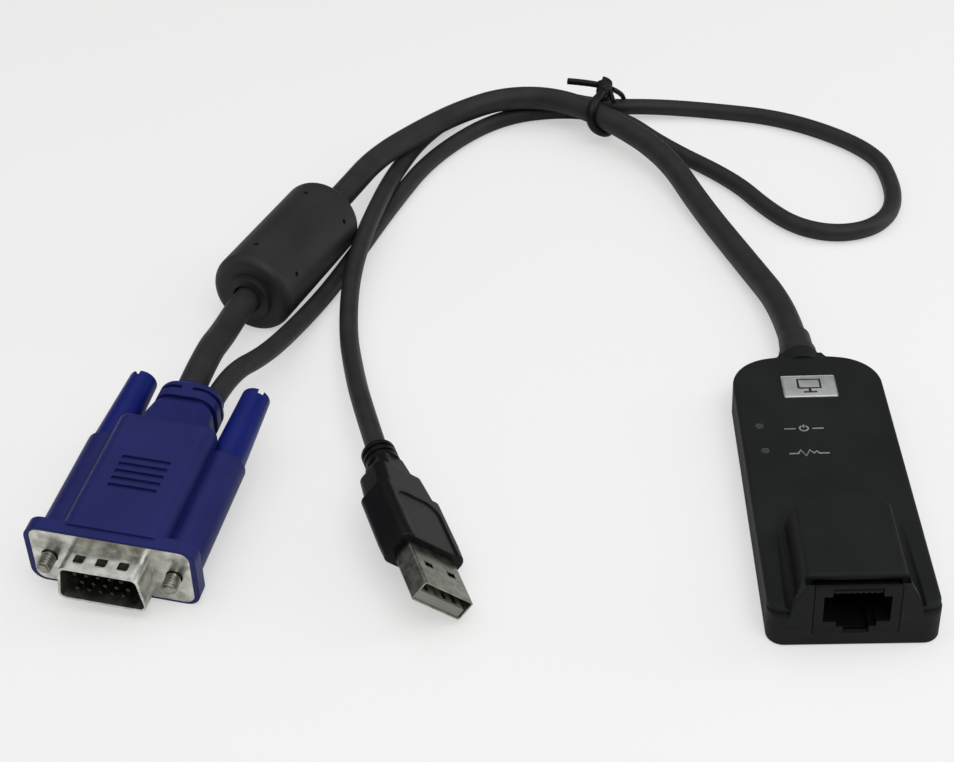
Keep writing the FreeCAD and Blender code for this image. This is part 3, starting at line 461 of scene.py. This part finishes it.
# ---------------------------------------------------------------- twist tie
# A steel wire coated in black polythene, wound once round the bundle, its two
# ends twisted together above it and one left standing out to the side.
def bent_wire(name, points, radii):
    """A wire whose line is a smooth spline with these control points, in mm."""
    curve = bpy.data.curves.new(name, "CURVE")
    curve.dimensions = "3D"
    spline = curve.splines.new("NURBS")
    spline.points.add(len(points) - 1)
    for point, place, radius in zip(spline.points, points, radii):
        point.co = (*(c * mm for c in place), 1)
        point.radius = radius
    spline.order_u = 3
    spline.use_endpoint_u = True
    spline.resolution_u = 8
    curve.bevel_depth = mm
    curve.bevel_resolution = 4
    curve.use_fill_caps = True
    wire = bpy.data.objects.new(name, curve)
    bpy.context.collection.objects.link(wire)
    bpy.ops.object.select_all(action="DESELECT")
    wire.select_set(True)
    bpy.context.view_layer.objects.active = wire
    bpy.ops.object.convert(target="MESH")
    return bpy.context.object


ring_points = (
    (-38.8, 162.6, 11.4), (-40.2, 157.4, 12.8), (-41.8, 154.4, 12.3), (-42.8, 152.4, 10.4),
    (-42.8, 151.8, 7.8), (-41.6, 151.6, 5.6), (-39.6, 151.8, 4.3), (-38.0, 154.8, 2.4),
    (-36.6, 160.0, 0.9), (-34.8, 167.0, 0.7), (-33.4, 169.8, 1.8), (-33.0, 169.6, 5.2),
    (-34.2, 168.2, 8.0), (-36.6, 165.8, 10.4),
)
ring_radii = (0.9, 1.05, 1.25, 1.35, 1.35, 1.35, 1.25, 0.95, 0.6, 0.5, 0.55, 0.65, 0.7, 0.75)
tie_parts = [
    bent_wire("tie_ring", ring_points, ring_radii),
    bent_wire("tie_leg", ((-37.6, 164.0, 11.2), (-36.9, 160.8, 11.2), (-36.5, 157.4, 10.6)),
              (0.75, 0.7, 0.65)),
    bent_wire("tie_tail", ((-37.0, 164.8, 11.2), (-40.4, 166.2, 12.0), (-48.8, 168.4, 12.0)),
              (0.8, 0.9, 0.9)),
]
knot_foot = (-39.1, 162.2, 9.6)
knot_lean = (0.5, 3.2, 3.2)
knot_steps = 12
knot_radius = 1.3
knot_wire_radius = 1.15
for start in (0, 180):
    helix = []
    for i in range(knot_steps + 1):
        angle = math.radians(start + 70 * i)
        height = i / knot_steps
        helix.append((
            knot_foot[0] + knot_lean[0] * height + knot_radius * math.cos(angle),
            knot_foot[1] + knot_lean[1] * height + knot_radius * math.sin(angle),
            knot_foot[2] + knot_lean[2] * height,
        ))
    tie_parts.append(bent_wire("tie_twist", helix, [knot_wire_radius] * len(helix)))
bpy.ops.object.select_all(action="DESELECT")
for part in tie_parts:
    part.select_set(True)
bpy.context.view_layer.objects.active = tie_parts[0]
bpy.ops.object.join()
twist_tie = bpy.context.object
twist_tie.name = "black_twist_tie"
tie_polythene = moulded_plastic("tie_black_polythene", ("050505", "0A0A0A"), 0.45, 0.6, 0.04, 0.1)
finish_mesh(twist_tie, tie_polythene, "housing")
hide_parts("twist_tie")

# ---------------------------------------------------------------- video plug
# Dark violet-blue PVC moulded over the plug: satin, with soft edges and five
# grip grooves. Its front carries a nickel-plated steel plate and D shell.
blue_pvc = moulded_plastic("video_blue_pvc", ("171C54", "1C215D"), 0.45, 0.4, 0.03, 0.35, 0.16)
dress("vga_hood", blue_pvc)
dress("vga_inner_mould", natural_nylon)
plug_nickel = satin_metal("dull_nickel_plate", ("A9A9A1", "DEDDD6"), 0.3, 2.2, 0.25, 0.15)
dress("vga_shell", plug_nickel)
black_nylon = moulded_plastic("insulator_black_nylon", ("070707", "0B0B0B"), 0.5, 0.3, 0.02, 0.1,
                              0.12)
dress("vga_insulator", black_nylon)
# The pins' gold is painted dark: painted shade inside the D shell.
dress("vga_pins", satin_metal("painted_shade_pin_gold", ("2B2822", "433E34"), 0.45, 1.0, 0.2, 0.05))

video_plug_at = Matrix.Translation(Vector((-137.7, -25.55, 8.6)) * mm) @ Euler(
    [math.radians(a) for a in (5.4, 4.85, -10.15)], "XYZ").to_matrix().to_4x4()

# ---------------------------------------------------------------- shell dimples
# Three square dimples pressed into the top of the D shell, which grip the
# socket: their hollows are painted a darker nickel as a painted dark reflection, within a bright
# rim.
# A darker nickel for the dimples' hollows: a painted dark reflection.
painted_reflection_nickel = satin_metal("painted_dark_reflection_nickel", ("1E1E1B", "34342F"), 0.5, 0.8, 0.2, 0.05)
dimple_size = (2.3, 2.1, 0.24)
dimple_rims = (0.1, 0.14)
dimple_depth = 0.07
dimple_columns = (-4.5, -0.1, 4.2)
dimple_row = -3.3
dimple_middle = 4.38  # height of the block's middle above the plug's axis
hollow_reach = 1.02
hollow_top = 0.11
bpy.ops.object.select_all(action="DESELECT")
bpy.ops.mesh.primitive_cube_add(size=1, scale=[c * mm for c in dimple_size])
dimple = bpy.context.object
dimple.name = "shell_dimple_1"
bpy.ops.object.transform_apply(location=True, rotation=True, scale=True)
round_uprights(dimple, 0.4, 3)
step_top(dimple, dimple_rims, -dimple_depth)
dimple.data.materials.append(plug_nickel)
dimple.data.materials.append(painted_reflection_nickel)
# The hollow's floor gets the darker nickel, a painted dark reflection.
for face in dimple.data.polygons:
    inside = max(abs(face.center.x), abs(face.center.y)) < hollow_reach * mm
    if inside and abs(face.center.z) < hollow_top * mm:
        face.material_index = 1
dimples = [dimple]
for number in (2, 3):
    extra = dimple.copy()
    extra.data = dimple.data.copy()
    extra.name = f"shell_dimple_{number}"
    bpy.context.collection.objects.link(extra)
    dimples.append(extra)
for dimple, x in zip(dimples, dimple_columns):
    dimple.matrix_world = video_plug_at @ Matrix.Translation(
        Vector((x, dimple_row, dimple_middle)) * mm)
    finish_mesh(dimple, None, "housing")

# ---------------------------------------------------------------- thumbscrews
# Each is a nickel-plated steel screw with a moulded blue ABS knob, turned by
# the fingers or a coin in its slot. The screw's tip carries a cut thread.
knob_abs = moulded_plastic("knob_blue_abs", ("08135A", "0C1A68"), 0.38, 0.4, 0.02, 0.3, 0.18)
screw_nickel = satin_metal("screw_nickel_plate", ("77766F", "A3A29B"), 0.35, 1.2, 0.2, 0.1)
screw_spacing = 24.99
thread_pitch = 0.64
thread_turns = 4.6
thread_start = -3.35
thread_radius = 1.42
ridge_radius = 0.17
steps_per_turn = 16
for side, sign in (("left", -1), ("right", 1)):
    dress(side + "_thumbscrew_knob", knob_abs)
    dress(side + "_thumbscrew_rod", screw_nickel)
    axis_x = sign * screw_spacing / 2
    ridge = []
    for i in range(int(thread_turns * steps_per_turn) + 1):
        angle = 2 * math.pi * i / steps_per_turn
        spot = Vector((axis_x + thread_radius * math.cos(angle),
                       thread_start + thread_pitch * i / steps_per_turn,
                       thread_radius * math.sin(angle))) * mm
        ridge.append(tuple((video_plug_at @ spot) / mm))
    thread = bent_wire(side + "_screw_thread", ridge, [ridge_radius] * len(ridge))
    finish_mesh(thread, screw_nickel, side + "_thumbscrew")

# ---------------------------------------------------------------- USB plug
# Black PVC moulded over the plug, glossier than the housing. Its shell is
# nickel-plated steel, folded round a pale nylon tongue.
dress("usb_overmould",
      moulded_plastic("usb_black_pvc", ("060606", "0B0B0C"), 0.42, 0.4, 0.03, 0.3, 0.15))
dress("usb_inner_mould", natural_nylon)
dress("usb_shell", satin_metal("olive_nickel_plate", ("74756A", "9C9D91"), 0.33, 1.6, 0.25, 0.12))
dress("usb_tongue",
      moulded_plastic("tongue_pale_nylon", ("787A73", "868881"), 0.5, 0.3, 0.02, 0.15))
# The contacts' gold is painted dark: painted shade in the gap of the shell.
dress("usb_contacts",
      satin_metal("painted_shade_contact_gold", ("5E4B22", "8A6F38"), 0.35, 1.0, 0.2, 0.05))
